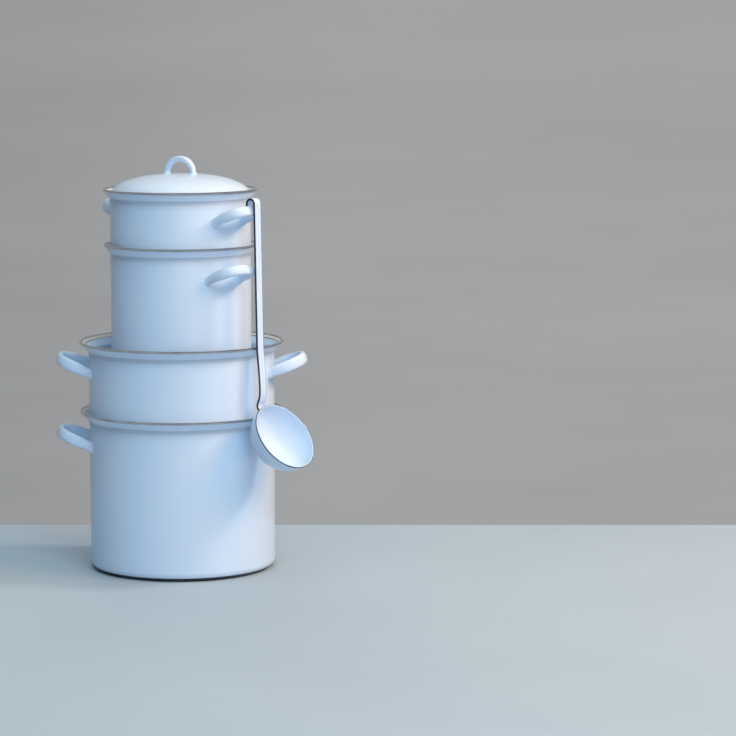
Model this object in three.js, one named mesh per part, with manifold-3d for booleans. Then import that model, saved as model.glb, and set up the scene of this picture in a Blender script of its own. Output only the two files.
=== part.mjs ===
// A stack of enamelled steel cookware. A large stockpot carries a large casserole of the same
// diameter, a small stockpot stands inside that casserole and carries a small casserole with its
// lid, and a soup ladle hangs by its hook from the topmost handle.
// Millimetres, +Z up, origin at the centre of the large stockpot's base. Angles round the stack
// are in degrees from the front (-Y) towards +X.

import * as THREE from 'three';
import { mergeVertices } from 'three/addons/utils/BufferGeometryUtils.js';
import Module from 'manifold-3d';

// Enamelled sheet, and the clearance between pieces that seat on each other
const sheet = 1.6;
const seatGap = 0.3;

// Large pots: outer wall radius, base corner, and the flared pouring rim
const largeRadius = 113.8;
const largeCorner = 12;
const largeFlareWidth = 10.2;
const largeFlareHeight = 11;
const largeStockpotHeight = 193.1;
const largeCasseroleHeight = 102.1;

// Small pots
const smallRadius = 85.8;
const smallCorner = 11;
const smallFlareWidth = 7.4;
const smallFlareHeight = 11;
const smallStockpotHeight = 219.2;
const smallCasseroleHeight = 83.2;

// Bend between wall and flare, and the steel band rolled over the rim edge
const rimBend = 2.6;
const bandRadius = 1.7;

// Loop handles: the strap's thickness, then for each pot size the strap's width, the loop's outer
// width, its reach along its own slope, the slope, and how full its bow is: 1 is an ellipse, less
// is squarer. The drops say how far the feet sit below the rim.
const strapThickness = 8;
const largeStrapWidth = 14;
const largeHandleWidth = 80;
const largeHandleReach = 42.7;
const largeHandleSlope = 20.5;
const largeHandleFullness = 0.85;
const smallStrapWidth = 12.5;
const smallHandleWidth = 58;
const smallHandleReach = 37;
const smallHandleSlope = 22;
const smallHandleFullness = 0.7;
const largeStockpotHandleDrop = 38;
const smallStockpotHandleDrop = 35.5;
const casseroleHandleDrop = 33;

// Which way each pot's right handle points
const largeHandleAngle = 90;
const smallStockpotHandleAngle = 43;
const smallCasseroleHandleAngle = 49;

// Lid: a dome on a short skirt, whose lip rests in the flare of the small casserole. The seat is
// how far out from the wall's inside the lip touches the flare; the lip is its width.
const lidHeight = 27;
const lidSkirtHeight = 6.7;
const lidSeat = 2;
const lidLip = 2.2;
const lidHandleWidth = 43;
const lidHandleHeight = 21.6;
const lidStrapWidth = 10;
const lidStrapThickness = 7;
const lidHandleAngle = 65;

// Ladle: a bowl whose mouth looks outwards and up, and a grooved strap with a narrow hook
const ladleAngle = 51.5;
const bowlRadius = 44;
const bowlDepth = 38;
const bowlTilt = 36;
const bowlDrop = 282.8;
const bowlRimGap = 0.5;
const stemWidth = 10;
const stemThickness = 2.6;
const grooveWidth = 3;
const grooveDepth = 0.8;
const hookRadius = 4.6;
const hookTip = 3;
const neckBulge = 4.2;
const neckLength = 26;
const neckWaist = 8;

// Facets round a pot, round the ladle's bowl, and in each rounded bend
const potFacets = 40;
const bowlFacets = 32;
const bendSteps = 3;
const strapFacets = 10;

const enamel = { color: 0xbdd4ef, roughness: 0.22, metalness: 0 };
const brightSteel = { color: 0xb9b7ae, roughness: 0.28, metalness: 1 };

const wasm = await Module();
wasm.setup();

const radians = THREE.MathUtils.degToRad;

// Points along a path, without the near-doubles where a line meets an arc
function outline(path, steps = bendSteps) {
  const closest = 1e-3;
  return path.getPoints(steps).filter((p, i, all) => i === 0 || p.distanceTo(all[i - 1]) > closest);
}

// One closed skin: shared corners merged, and the flat triangles at a pole left out
function closedSkin(geometry) {
  const bare = new THREE.BufferGeometry();
  bare.setAttribute('position', geometry.getAttribute('position'));
  bare.setIndex(geometry.getIndex());
  const skin = mergeVertices(bare, 1e-4);
  const corners = skin.getIndex().array;
  const kept = [];
  for (let i = 0; i < corners.length; i += 3) {
    const [a, b, c] = [corners[i], corners[i + 1], corners[i + 2]];
    if (a !== b && b !== c && c !== a) kept.push(a, b, c);
  }
  skin.setIndex(kept);
  return skin;
}

// A profile of (radius, height) points turned about Z, walked with the material on its left
function turned(points, facets) {
  return closedSkin(new THREE.LatheGeometry(points, facets).rotateX(Math.PI / 2));
}

// A section swept along a flat path in the XY plane. The section's x lies to the right of the
// path and its y along Z; bends are mitred and both ends are capped.
function swept(path, section) {
  const positions = [];
  const triangles = [];
  const sides = section.length;
  path.forEach((point, i) => {
    const before = path[Math.max(i - 1, 0)];
    const after = path[Math.min(i + 1, path.length - 1)];
    const into = point.clone().sub(i > 0 ? before : after).normalize();
    const out = after.clone().sub(i < path.length - 1 ? point : before).normalize();
    if (i === 0) into.copy(out);
    const along = into.clone().add(out).normalize();
    const mitre = 1 / along.dot(into);
    section.forEach((s) => {
      positions.push(point.x + along.y * s.x * mitre, point.y - along.x * s.x * mitre, s.y);
    });
  });
  for (let ring = 0; ring < path.length - 1; ring++) {
    for (let k = 0; k < sides; k++) {
      const a = ring * sides + k;
      const b = ring * sides + ((k + 1) % sides);
      triangles.push(a, a + sides, b, b, a + sides, b + sides);
    }
  }
  const last = (path.length - 1) * sides;
  for (const [a, b, c] of THREE.ShapeUtils.triangulateShape(section, [])) {
    triangles.push(a, b, c, last + a, last + c, last + b);
  }
  const geometry = new THREE.BufferGeometry();
  geometry.setAttribute('position', new THREE.Float32BufferAttribute(positions, 3));
  geometry.setIndex(triangles);
  return geometry;
}

function solid(geometry) {
  const skin = closedSkin(geometry);
  return new wasm.Manifold(new wasm.Mesh({
    numProp: 3,
    vertProperties: new Float32Array(skin.getAttribute('position').array),
    triVerts: new Uint32Array(skin.getIndex().array),
  }));
}

function cutFrom(geometry, cutter) {
  const { vertProperties, triVerts } = solid(geometry).subtract(solid(cutter)).getMesh();
  const cut = new THREE.BufferGeometry();
  cut.setAttribute('position', new THREE.Float32BufferAttribute(vertProperties, 3));
  cut.setIndex([...triVerts]);
  return cut;
}

function piece(name, geometry, finish) {
  const mesh = new THREE.Mesh(geometry, new THREE.MeshStandardMaterial(finish));
  mesh.name = name;
  return mesh;
}

// The flare of one pot size: its slope from the wall, and the height of the inner crease, where
// the flare leaves the wall, below the rim edge
function flareOf({ flareWidth, flareHeight }) {
  const length = Math.hypot(flareWidth, flareHeight);
  return {
    along: new THREE.Vector2(flareWidth, flareHeight).divideScalar(length),
    inward: new THREE.Vector2(-flareHeight, flareWidth).divideScalar(length),
    slope: flareWidth / flareHeight,
    creaseDrop: flareHeight - sheet * (length - flareHeight) / flareWidth,
  };
}

const largePot = {
  radius: largeRadius,
  corner: largeCorner,
  flareWidth: largeFlareWidth,
  flareHeight: largeFlareHeight,
  strapWidth: largeStrapWidth,
  handleWidth: largeHandleWidth,
  handleReach: largeHandleReach,
  handleSlope: radians(largeHandleSlope),
  handleFullness: largeHandleFullness,
};
const smallPot = {
  radius: smallRadius,
  corner: smallCorner,
  flareWidth: smallFlareWidth,
  flareHeight: smallFlareHeight,
  strapWidth: smallStrapWidth,
  handleWidth: smallHandleWidth,
  handleReach: smallHandleReach,
  handleSlope: radians(smallHandleSlope),
  handleFullness: smallHandleFullness,
};

// Height on the inside of a pot's flare where something of the given radius touches it, measured
// from the pot's base
function flareTouch(pot, radius) {
  const { slope, creaseDrop } = flareOf(pot);
  const gap = seatGap * Math.hypot(1, slope);
  return pot.height - creaseDrop + (radius + gap - (pot.radius - sheet)) / slope;
}

function bodyProfile({ radius, corner, flareWidth, flareHeight, height }) {
  const { along, inward, creaseDrop } = flareOf({ flareWidth, flareHeight });
  const inside = radius - sheet;
  const crease = height - flareHeight;
  const innerCrease = height - creaseDrop;
  const edge = new THREE.Vector2(radius + flareWidth, height);
  const innerEdge = edge.clone().addScaledVector(inward, sheet);
  const path = new THREE.Path();
  path.moveTo(0, 0);
  path.lineTo(radius - corner, 0);
  path.absarc(radius - corner, corner, corner, -Math.PI / 2, 0, false);
  path.lineTo(radius, crease - rimBend);
  path.quadraticCurveTo(radius, crease, radius + along.x * rimBend, crease + along.y * rimBend);
  path.lineTo(edge.x, edge.y);
  path.lineTo(innerEdge.x, innerEdge.y);
  path.lineTo(inside + along.x * rimBend, innerCrease + along.y * rimBend);
  path.quadraticCurveTo(inside, innerCrease, inside, innerCrease - rimBend);
  path.lineTo(inside, corner);
  path.absarc(radius - corner, corner, corner - sheet, 0, -Math.PI / 2, true);
  path.lineTo(0, sheet);
  return outline(path, bendSteps - 1);
}

// How high a pot stands when its rounded base corner rests inside the rim of the pot below: every
// point of that rim stays a seat's gap away from the corner's arc
function nestHeight(below, above) {
  const middle = above.radius - above.corner;
  const reach = above.corner + seatGap;
  const rests = bodyProfile(below)
    .filter((p) => p.y > below.height / 2 && Math.abs(p.x - middle) < reach)
    .map((p) => p.y + Math.sqrt(reach ** 2 - (p.x - middle) ** 2));
  return Math.max(...rests) - above.corner;
}

// A round bead along the rim, slotted so that it clamps over the edge of the sheet
function bandProfile({ radius, flareWidth, flareHeight, height }) {
  const { along, inward } = flareOf({ flareWidth, flareHeight });
  const centre = new THREE.Vector2(radius + flareWidth, height).addScaledVector(inward, sheet / 2);
  const halfSlot = sheet / 2 + seatGap;
  const lip = Math.PI - Math.asin(halfSlot / bandRadius);
  const at = (forward, across) => centre.clone()
    .addScaledVector(along, forward)
    .addScaledVector(inward, across);
  const arcSteps = 6;
  const points = [];
  for (let i = 0; i <= arcSteps; i++) {
    const angle = -lip + 2 * lip * i / arcSteps;
    points.push(at(bandRadius * Math.cos(angle), bandRadius * Math.sin(angle)));
  }
  points.push(at(seatGap, halfSlot), at(seatGap, -halfSlot));
  points.push(points[0].clone());
  return points;
}

// The handles are hollow pressings; from outside their strap is a flat tube with full corners
function strapSection(thickness, width) {
  const fullness = 0.62;
  const full = (value) => Math.sign(value) * Math.abs(value) ** fullness;
  const points = [];
  for (let i = 0; i < strapFacets; i++) {
    const angle = 2 * Math.PI * (i + 0.5) / strapFacets;
    points.push(new THREE.Vector2(full(Math.cos(angle)) * thickness / 2, full(Math.sin(angle)) * width / 2));
  }
  return points;
}

// The middle line of a loop handle, reaching along +X: two straight legs joined by a bow, which is
// an ellipse at fullness 1 and squares up as that falls
function loopPath(width, reach, thickness, legs, fullness) {
  const half = (width - thickness) / 2;
  const depth = reach - thickness / 2;
  const steps = 4 * bendSteps;
  const points = [new THREE.Vector2(-legs, -half)];
  for (let i = 0; i <= steps; i++) {
    const angle = Math.PI * (i / steps - 0.5);
    const across = Math.sign(angle) * Math.abs(Math.sin(angle)) ** fullness;
    points.push(new THREE.Vector2(depth * Math.abs(Math.cos(angle)) ** fullness, half * across));
  }
  points.push(new THREE.Vector2(-legs, half));
  return points;
}

function sideHandle(pot, turn) {
  const { radius, strapWidth, handleWidth, handleReach, handleSlope, height, handleDrop } = pot;
  const wallRecess = radius - Math.sqrt(radius ** 2 - (handleWidth / 2) ** 2);
  const legs = (wallRecess + strapWidth) / Math.cos(handleSlope);
  const path = loopPath(handleWidth, handleReach, strapThickness, legs, pot.handleFullness);
  const loop = swept(path, strapSection(strapThickness, strapWidth));
  loop.rotateY(-handleSlope);
  loop.translate(radius, 0, height - handleDrop);
  loop.rotateZ(radians(turn - 90));
  const wall = radius + seatGap;
  const wallSolid = turned([
    new THREE.Vector2(0, 0),
    new THREE.Vector2(wall, 0),
    new THREE.Vector2(wall, height),
    new THREE.Vector2(0, height),
  ], potFacets);
  return cutFrom(loop, wallSolid);
}

function potGroup(name, pot) {
  const group = new THREE.Group();
  group.position.z = pot.base;
  group.add(piece(`${name}_body`, turned(bodyProfile(pot), potFacets), enamel));
  group.add(piece(`${name}_rim_band`, turned(bandProfile(pot), potFacets), brightSteel));
  group.add(piece(`${name}_handle_right`, sideHandle(pot, pot.handleAngle), enamel));
  group.add(piece(`${name}_handle_left`, sideHandle(pot, pot.handleAngle + 180), enamel));
  return group;
}

// The four pots, each standing on or in the one before it
const largeStockpot = {
  ...largePot,
  base: 0,
  height: largeStockpotHeight,
  handleDrop: largeStockpotHandleDrop,
  handleAngle: largeHandleAngle,
};
const largeCasserole = {
  ...largePot,
  height: largeCasseroleHeight,
  handleDrop: casseroleHandleDrop,
  handleAngle: largeHandleAngle,
};
largeCasserole.base = largeStockpot.base + nestHeight(largeStockpot, largeCasserole);
const smallStockpot = {
  ...smallPot,
  base: largeCasserole.base + sheet + seatGap,
  height: smallStockpotHeight,
  handleDrop: smallStockpotHandleDrop,
  handleAngle: smallStockpotHandleAngle,
};
const smallCasserole = {
  ...smallPot,
  height: smallCasseroleHeight,
  handleDrop: casseroleHandleDrop,
  handleAngle: smallCasseroleHandleAngle,
};
smallCasserole.base = smallStockpot.base + nestHeight(smallStockpot, smallCasserole);

// The lid fits the small casserole: its lip reaches a little past the wall's inside, and the skirt
// stands back from the lip
const lidLipRadius = smallRadius - sheet + lidSeat;
const lidSkirtRadius = lidLipRadius - lidLip;

// The dome is one long curve from its crown to the top of the skirt
const domeCrown = 0.5;
const domeShoulder = 0.86;
const domeFall = 0.34;
function lidDome(path, radius, crown, skirt) {
  const rise = crown - skirt;
  path.bezierCurveTo(
    radius * domeShoulder, crown - rise * domeFall,
    radius * domeCrown, crown,
    0, crown,
  );
}

function lidProfile() {
  const inside = lidSkirtRadius - sheet;
  const innerCrown = lidHeight - sheet;
  const rise = innerCrown - lidSkirtHeight;
  const path = new THREE.Path();
  path.moveTo(0, innerCrown);
  path.bezierCurveTo(
    inside * domeCrown, innerCrown,
    inside * domeShoulder, innerCrown - rise * domeFall,
    inside, lidSkirtHeight,
  );
  path.lineTo(inside, 0);
  path.lineTo(lidLipRadius, 0);
  path.lineTo(lidLipRadius, sheet);
  path.lineTo(lidSkirtRadius, sheet);
  path.lineTo(lidSkirtRadius, lidSkirtHeight);
  lidDome(path, lidSkirtRadius, lidHeight, lidSkirtHeight);
  return outline(path, 2 * bendSteps);
}

function lidHandleGeometry() {
  const legs = lidHandleHeight / 2;
  const path = loopPath(lidHandleWidth, lidHandleHeight, lidStrapThickness, legs, 1);
  const arch = swept(path, strapSection(lidStrapThickness, lidStrapWidth));
  arch.rotateZ(Math.PI / 2);
  arch.rotateX(Math.PI / 2);
  arch.translate(0, 0, lidHeight);
  arch.rotateZ(radians(lidHandleAngle - 90));
  const dome = new THREE.Path();
  dome.moveTo(0, 0);
  dome.lineTo(lidSkirtRadius, 0);
  dome.lineTo(lidSkirtRadius, lidSkirtHeight);
  lidDome(dome, lidSkirtRadius, lidHeight, lidSkirtHeight);
  const domeSolid = turned(outline(dome, 2 * bendSteps), potFacets).translate(0, 0, seatGap);
  return cutFrom(arch, domeSolid);
}

function lidGroup() {
  const group = new THREE.Group();
  group.position.z = smallCasserole.base + flareTouch(smallCasserole, lidLipRadius);
  group.add(piece('lid_shell', turned(lidProfile(), potFacets), enamel));
  group.add(piece('lid_handle', lidHandleGeometry(), enamel));
  return group;
}

// Outermost radius of the large pots' rims, which the ladle leans on and has to pass
function rimReach(pot) {
  return pot.radius + pot.flareWidth + flareOf(pot).inward.x * sheet / 2 + bandRadius;
}

// The strap of the handle that the ladle hangs on, cut by the ladle's vertical plane close to the
// middle of the loop: its corners as radius and height
function hungStrap() {
  const { radius, strapWidth, handleReach, handleSlope, handleAngle } = smallCasserole;
  const foot = smallCasserole.base + smallCasserole.height - smallCasserole.handleDrop;
  const out = handleReach - strapThickness / 2;
  const middle = new THREE.Vector2(
    (radius + out * Math.cos(handleSlope)) / Math.cos(radians(ladleAngle - handleAngle)),
    foot + out * Math.sin(handleSlope),
  );
  return strapSection(strapThickness, strapWidth)
    .map((corner) => corner.rotateAround(new THREE.Vector2(), handleSlope).add(middle));
}

// The hook is narrower than the strap. Its stem hangs against the strap's outside and its end rests
// on the strap's inner shoulder; a wider hook would drop until its crown rests on the strap.
function hookPlace() {
  const strap = hungStrap();
  const gap = 2 * seatGap;
  const x = Math.max(...strap.map((corner) => corner.x)) + gap - hookRadius;
  const end = x - hookRadius;
  const shoulders = strap
    .map((corner, i) => [corner, strap[(i + 1) % strap.length]])
    .filter(([a, b]) => (a.x - end) * (b.x - end) < 0)
    .map(([a, b]) => a.y + (b.y - a.y) * (end - a.x) / (b.x - a.x));
  const top = Math.max(...strap.map((corner) => corner.y));
  return new THREE.Vector2(x, Math.max(
    Math.max(...shoulders) + gap + hookTip,
    top + gap - hookRadius,
  ));
}

// The ladle is drawn in its own plane, x outwards from the pots' axis and y upwards
const hookCentre = hookPlace();
const tilt = radians(bowlTilt);
const bowlBack = Math.hypot(bowlRadius * Math.sin(tilt), bowlDepth * Math.cos(tilt));
const bowlCentre = new THREE.Vector2(
  rimReach(largePot) + bowlRimGap + bowlBack,
  hookCentre.y + hookRadius + stemThickness - bowlDrop,
);

// A point in the ladle's plane on the bowl's outside, by its angle from the mouth and its depth
// below the skin
function onBowl(angle, below) {
  const across = (bowlRadius - below) * Math.cos(angle);
  const down = (bowlDepth - below) * Math.sin(angle);
  return new THREE.Vector2(
    bowlCentre.x - across * Math.sin(tilt) - down * Math.cos(tilt),
    bowlCentre.y + across * Math.cos(tilt) - down * Math.sin(tilt),
  );
}

function bowlSkin(radius, depth, path) {
  path.moveTo(0, -depth);
  path.absellipse(0, 0, radius, depth, -Math.PI / 2, 0, false, 0);
}

function placeInLadle(geometry) {
  geometry.rotateY(Math.PI / 2 - tilt);
  return geometry.translate(bowlCentre.x, 0, bowlCentre.y);
}

function bowlGeometry() {
  const path = new THREE.Path();
  bowlSkin(bowlRadius, bowlDepth, path);
  path.lineTo(bowlRadius - sheet, 0);
  path.absellipse(0, 0, bowlRadius - sheet, bowlDepth - sheet, 0, -Math.PI / 2, true, 0);
  return placeInLadle(turned(outline(path), bowlFacets));
}

function stemSection() {
  const half = stemThickness / 2;
  return [
    new THREE.Vector2(-half, -stemWidth / 2),
    new THREE.Vector2(half, -stemWidth / 2),
    new THREE.Vector2(half, stemWidth / 2),
    new THREE.Vector2(-half, stemWidth / 2),
    new THREE.Vector2(-half, grooveWidth / 2),
    new THREE.Vector2(-half + grooveDepth, 0),
    new THREE.Vector2(-half, -grooveWidth / 2),
  ];
}

function stemPath() {
  const bend = hookRadius + stemThickness / 2;
  const lean = rimReach(largePot) + seatGap + stemThickness / 2;
  const rim = largeCasserole.base + largeCasserole.height;
  const rootAngle = radians(20);
  const root = onBowl(rootAngle, 0);
  const rootEnd = onBowl(rootAngle, 2 * sheet);
  const path = new THREE.Path();
  path.moveTo(hookCentre.x - bend, hookCentre.y - hookTip);
  path.lineTo(hookCentre.x - bend, hookCentre.y);
  path.absarc(hookCentre.x, hookCentre.y, bend, Math.PI, 0, true);
  path.lineTo(lean, rim);
  path.splineThru([
    new THREE.Vector2(lean + neckBulge, root.y + neckLength),
    new THREE.Vector2(lean, root.y + neckWaist),
    root,
    rootEnd,
  ]);
  return outline(path, 2 * bendSteps);
}

function stemGeometry() {
  const strap = swept(stemPath(), stemSection()).rotateX(Math.PI / 2);
  const bowl = new THREE.Path();
  bowlSkin(bowlRadius + seatGap, bowlDepth + seatGap, bowl);
  bowl.lineTo(0, 0);
  return cutFrom(strap, placeInLadle(turned(outline(bowl), bowlFacets)));
}

function ladleGroup() {
  const group = new THREE.Group();
  group.rotation.z = radians(ladleAngle - 90);
  group.add(piece('ladle_bowl', bowlGeometry(), enamel));
  group.add(piece('ladle_stem', stemGeometry(), enamel));
  return group;
}

const stack = new THREE.Group();
stack.add(potGroup('large_stockpot', largeStockpot));
stack.add(potGroup('large_casserole', largeCasserole));
stack.add(potGroup('small_stockpot', smallStockpot));
stack.add(potGroup('small_casserole', smallCasserole));
stack.add(lidGroup());
stack.add(ladleGroup());

export default stack;
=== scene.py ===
import functools
import math
from types import SimpleNamespace

import bmesh
import bpy
from mathutils import Matrix, Vector


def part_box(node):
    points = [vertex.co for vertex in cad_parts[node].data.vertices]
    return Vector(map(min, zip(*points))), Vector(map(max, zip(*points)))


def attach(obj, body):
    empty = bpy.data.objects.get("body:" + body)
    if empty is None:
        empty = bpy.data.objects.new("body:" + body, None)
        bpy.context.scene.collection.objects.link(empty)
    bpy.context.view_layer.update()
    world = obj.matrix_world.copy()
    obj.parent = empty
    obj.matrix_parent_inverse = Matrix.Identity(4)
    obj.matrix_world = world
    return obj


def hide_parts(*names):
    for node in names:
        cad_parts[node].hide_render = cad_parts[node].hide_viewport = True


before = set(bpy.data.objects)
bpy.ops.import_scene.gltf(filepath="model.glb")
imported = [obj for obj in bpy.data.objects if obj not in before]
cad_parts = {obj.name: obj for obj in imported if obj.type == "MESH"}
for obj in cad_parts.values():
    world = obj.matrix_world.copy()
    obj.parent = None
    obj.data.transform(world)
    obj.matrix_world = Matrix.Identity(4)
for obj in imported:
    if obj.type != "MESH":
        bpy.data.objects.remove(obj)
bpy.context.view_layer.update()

# The view. A long lens a little to the right of the stack and above its lid looks slightly down on
# it, so that the upright walls stay almost parallel and the rims show as narrow ovals.
camera_pitch = 0.1271
camera = bpy.data.objects.new("camera", bpy.data.cameras.new("camera"))
camera.data.sensor_width = 36
camera.data.lens = 140.908
camera.data.clip_end = 40
camera.location = (0.2289, -3.5124, 0.6944)
camera.rotation_euler = (math.radians(90) - camera_pitch, 0, 0)
bpy.context.collection.objects.link(camera)
bpy.context.scene.camera = camera
bpy.context.scene.view_settings.view_transform = "Standard"


# Large stockpot body. Deep-drawn steel sheet, spun out at the top into a pouring flare and dipped
# in pale blue enamel inside and out. Underneath, only the dark ground coat is fired on.
mm = 0.001
sheet, rim_bend = 1.6, 5
large_form = SimpleNamespace(wall=113.8, corner=12, flare_out=10.2, flare_up=11)
large_stockpot_height = 193.1
pot_sides, bend_steps = 192, 9
join_within = 2e-6
pale_blue, deep_blue = (0.590, 0.728, 0.895), (0.570, 0.710, 0.882)
ground_coat = (0.012, 0.017, 0.035)


def step(tree, kind, inputs=None, **settings):
    """One node of a tree, with its settings and its inputs: plain values or other nodes' outputs."""
    node = tree.nodes.new(kind)
    for name, value in settings.items():
        setattr(node, name, value)
    for name, value in (inputs or {}).items():
        if isinstance(value, bpy.types.NodeSocket):
            tree.links.new(value, node.inputs[name])
        else:
            node.inputs[name].default_value = value
    return node


def reckon(tree, operation, *values):
    """The output of one Math node."""
    return step(tree, "ShaderNodeMath", dict(enumerate(values)), operation=operation).outputs[0]


def new_tree(name, kind, inputs, outputs):
    """An empty node tree with named sockets, and the outputs of its input node."""
    tree = bpy.data.node_groups.new(name, kind)
    for in_out, sockets in (("INPUT", inputs), ("OUTPUT", outputs)):
        for label, socket in sockets:
            tree.interface.new_socket(label, in_out=in_out, socket_type="NodeSocket" + socket)
    return tree, step(tree, "NodeGroupInput").outputs


def new_finish(name):
    """An empty material and its node tree."""
    finish = bpy.data.materials.new(name)
    finish.use_nodes = True
    finish.node_tree.nodes.clear()
    return finish, finish.node_tree


# Sheet that is spun: the drawn profile gets its bend radii and is carried round the pot's axis.
spun_sheet, given = new_tree(
    "spun_sheet", "GeometryNodeTree",
    [("Profile", "Geometry"), ("Sides", "Int"), ("Bend steps", "Int"), ("Finish", "Material")],
    [("Piece", "Geometry")])
drawn = step(spun_sheet, "GeometryNodeMeshToCurve", {"Mesh": given["Profile"]})
bend = step(spun_sheet, "GeometryNodeInputNamedAttribute", {"Name": "bend"}, data_type="FLOAT")
rounded = step(spun_sheet, "GeometryNodeFilletCurve", {
    "Curve": drawn.outputs[0], "Count": given["Bend steps"], "Radius": bend.outputs[0],
    "Limit Radius": True}, mode="POLY")
on_circle = step(spun_sheet, "GeometryNodeTransform", {
    "Geometry": rounded.outputs[0], "Translation": (-1, 0, 0)})
circle = step(spun_sheet, "GeometryNodeCurvePrimitiveCircle", {
    "Resolution": given["Sides"], "Radius": 1})
skin = step(spun_sheet, "GeometryNodeCurveToMesh", {
    "Curve": circle.outputs[0], "Profile Curve": on_circle.outputs[0]})
closed = step(spun_sheet, "GeometryNodeMergeByDistance", {
    "Geometry": skin.outputs[0], "Distance": join_within})
smooth = step(spun_sheet, "GeometryNodeSetShadeSmooth", {"Geometry": closed.outputs[0]})
whole = step(spun_sheet, "GeometryNodeRealizeInstances", {"Geometry": smooth.outputs[0]})
finished = step(spun_sheet, "GeometryNodeSetMaterial", {
    "Geometry": whole.outputs[0], "Material": given["Finish"]})
step(spun_sheet, "NodeGroupOutput", {"Piece": finished.outputs[0]})


def formed(name, start, tree, values):
    """An object whose mesh is what the tree makes of its starting mesh, with no modifier left."""
    blank = bpy.data.objects.new(name, start)
    bpy.context.collection.objects.link(blank)
    tool = blank.modifiers.new(tree.name, "NODES")
    tool.node_group = tree
    for socket in tree.interface.items_tree:
        if socket.in_out == "INPUT" and socket.name in values:
            tool[socket.identifier] = values[socket.name]
    depsgraph = bpy.context.evaluated_depsgraph_get()
    mesh = bpy.data.meshes.new_from_object(
        blank.evaluated_get(depsgraph), preserve_all_data_layers=True, depsgraph=depsgraph)
    blank.modifiers.clear()
    blank.data = mesh
    mesh.name = name
    mesh.materials.clear()
    mesh.materials.append(values["Finish"])
    work = bmesh.new()
    work.from_mesh(mesh)
    bmesh.ops.remove_doubles(work, verts=work.verts, dist=join_within)
    bmesh.ops.recalc_face_normals(work, faces=work.faces)
    for face in work.faces:
        face.smooth = True
        face.material_index = 0
    work.to_mesh(mesh)
    work.free()
    return blank


def with_shoulders(points):
    """The profile with a point just past each end of every bend, so that flat walls stay flat."""
    room = 0.6
    out = []
    for i, (x, y, radius, bare, tone_and_painted_light) in enumerate(points):
        here = Vector((x, y))
        ends = [None, None]
        if radius and 0 < i < len(points) - 1:
            back = Vector(points[i - 1][:2]) - here
            on = Vector(points[i + 1][:2]) - here
            turn = math.pi - back.angle(on)
            reach = radius * math.tan(turn / 2) + room
            ends = [here + side.normalized() * reach if side.length > reach + room else None
                    for side in (back, on)]
        if ends[0] is not None:
            out.append((*ends[0], 0, bare, tone_and_painted_light))
        out.append((x, y, radius, bare, tone_and_painted_light))
        if ends[1] is not None:
            out.append((*ends[1], 0, bare, tone_and_painted_light))
    return out


def spun(name, points, finish, sides=pot_sides, ring=False):
    """A spun piece. Each point is radius, height and bend radius in mm and how bare its edge is. A
    fifth value, where there is one, is painted light: on the enamel, painted shade in the crease
    under the flare and painted light on the flare; on a steel band, a painted sheen."""
    points = [(*point, 0)[:5] for point in points]
    points = points if ring else with_shoulders(points)
    count = len(points)
    edges = [(i, (i + 1) % count) for i in range(count if ring else count - 1)]
    profile = bpy.data.meshes.new(name + "_profile")
    profile.from_pydata([(point[0] * mm, -point[1] * mm, 0) for point in points], edges, [])
    for label, column, scale in (("bend", 2, mm), ("bare", 3, 1), ("tone_and_painted_light", 4, 1)):
        layer = profile.attributes.new(label, "FLOAT", "POINT")
        layer.data.foreach_set("value", [point[column] * scale for point in points])
    return formed(name, profile, spun_sheet, {
        "Sides": sides, "Bend steps": bend_steps, "Finish": finish})


def pot_profile(form, height):
    """From the middle of the floor up the inside, over the rim and down to the base's middle."""
    wall, corner, flare_out, flare_up = form.wall, form.corner, form.flare_out, form.flare_up
    length = math.hypot(flare_out, flare_up)
    inside, crease, flare_start = wall - sheet, height - flare_up, 0.35
    inner_crease = crease + sheet * (length - flare_up) / flare_out
    edge_in = (-flare_up / length * sheet, flare_out / length * sheet)
    hollow, floor_slope, floor_bend = 0.5, 4, 8
    ring_inset, ring_width, ring_bend = 5, 4, 2
    turn_in, foot_line, foot_steps = corner * 0.9, 4.4, 24
    foot = []
    for i in range(foot_steps + 1):
        angle = math.pi / 2 * i / foot_steps
        rise = turn_in * (1 - math.sin(angle))
        foot.append((wall - turn_in * (1 - math.cos(angle)), rise, 0, 1 if rise < foot_line else 0))
    return [
        (0, sheet + hollow, 0, 0),
        (inside - corner - floor_slope, sheet + hollow, floor_bend, 0),
        (inside - corner + floor_slope, sheet, floor_bend, 0),
        (inside, sheet, corner - sheet, 0),
        (inside, inner_crease, rim_bend, 0),
        (wall + flare_out + edge_in[0], height + edge_in[1], 0.3, 0),
        # The fifth values are painted light: paler on the flare, painted shade in the crease under it.
        (wall + flare_out, height, 0.3, 0, 1),
        (wall + flare_out * flare_start, height - flare_up * (1 - flare_start), 0, 0, 1),
        (wall, crease, rim_bend, 0, -1),
        (wall, crease - 4, 0, 0, -0.4),
        (wall, crease - 10, 0, 0, 0),
        *foot,
        (wall - corner - ring_inset, 0, ring_bend, 1),
        (wall - corner - ring_inset - ring_width, hollow, ring_bend, 1),
        (0, hollow, 0, 1),
    ]


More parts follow.
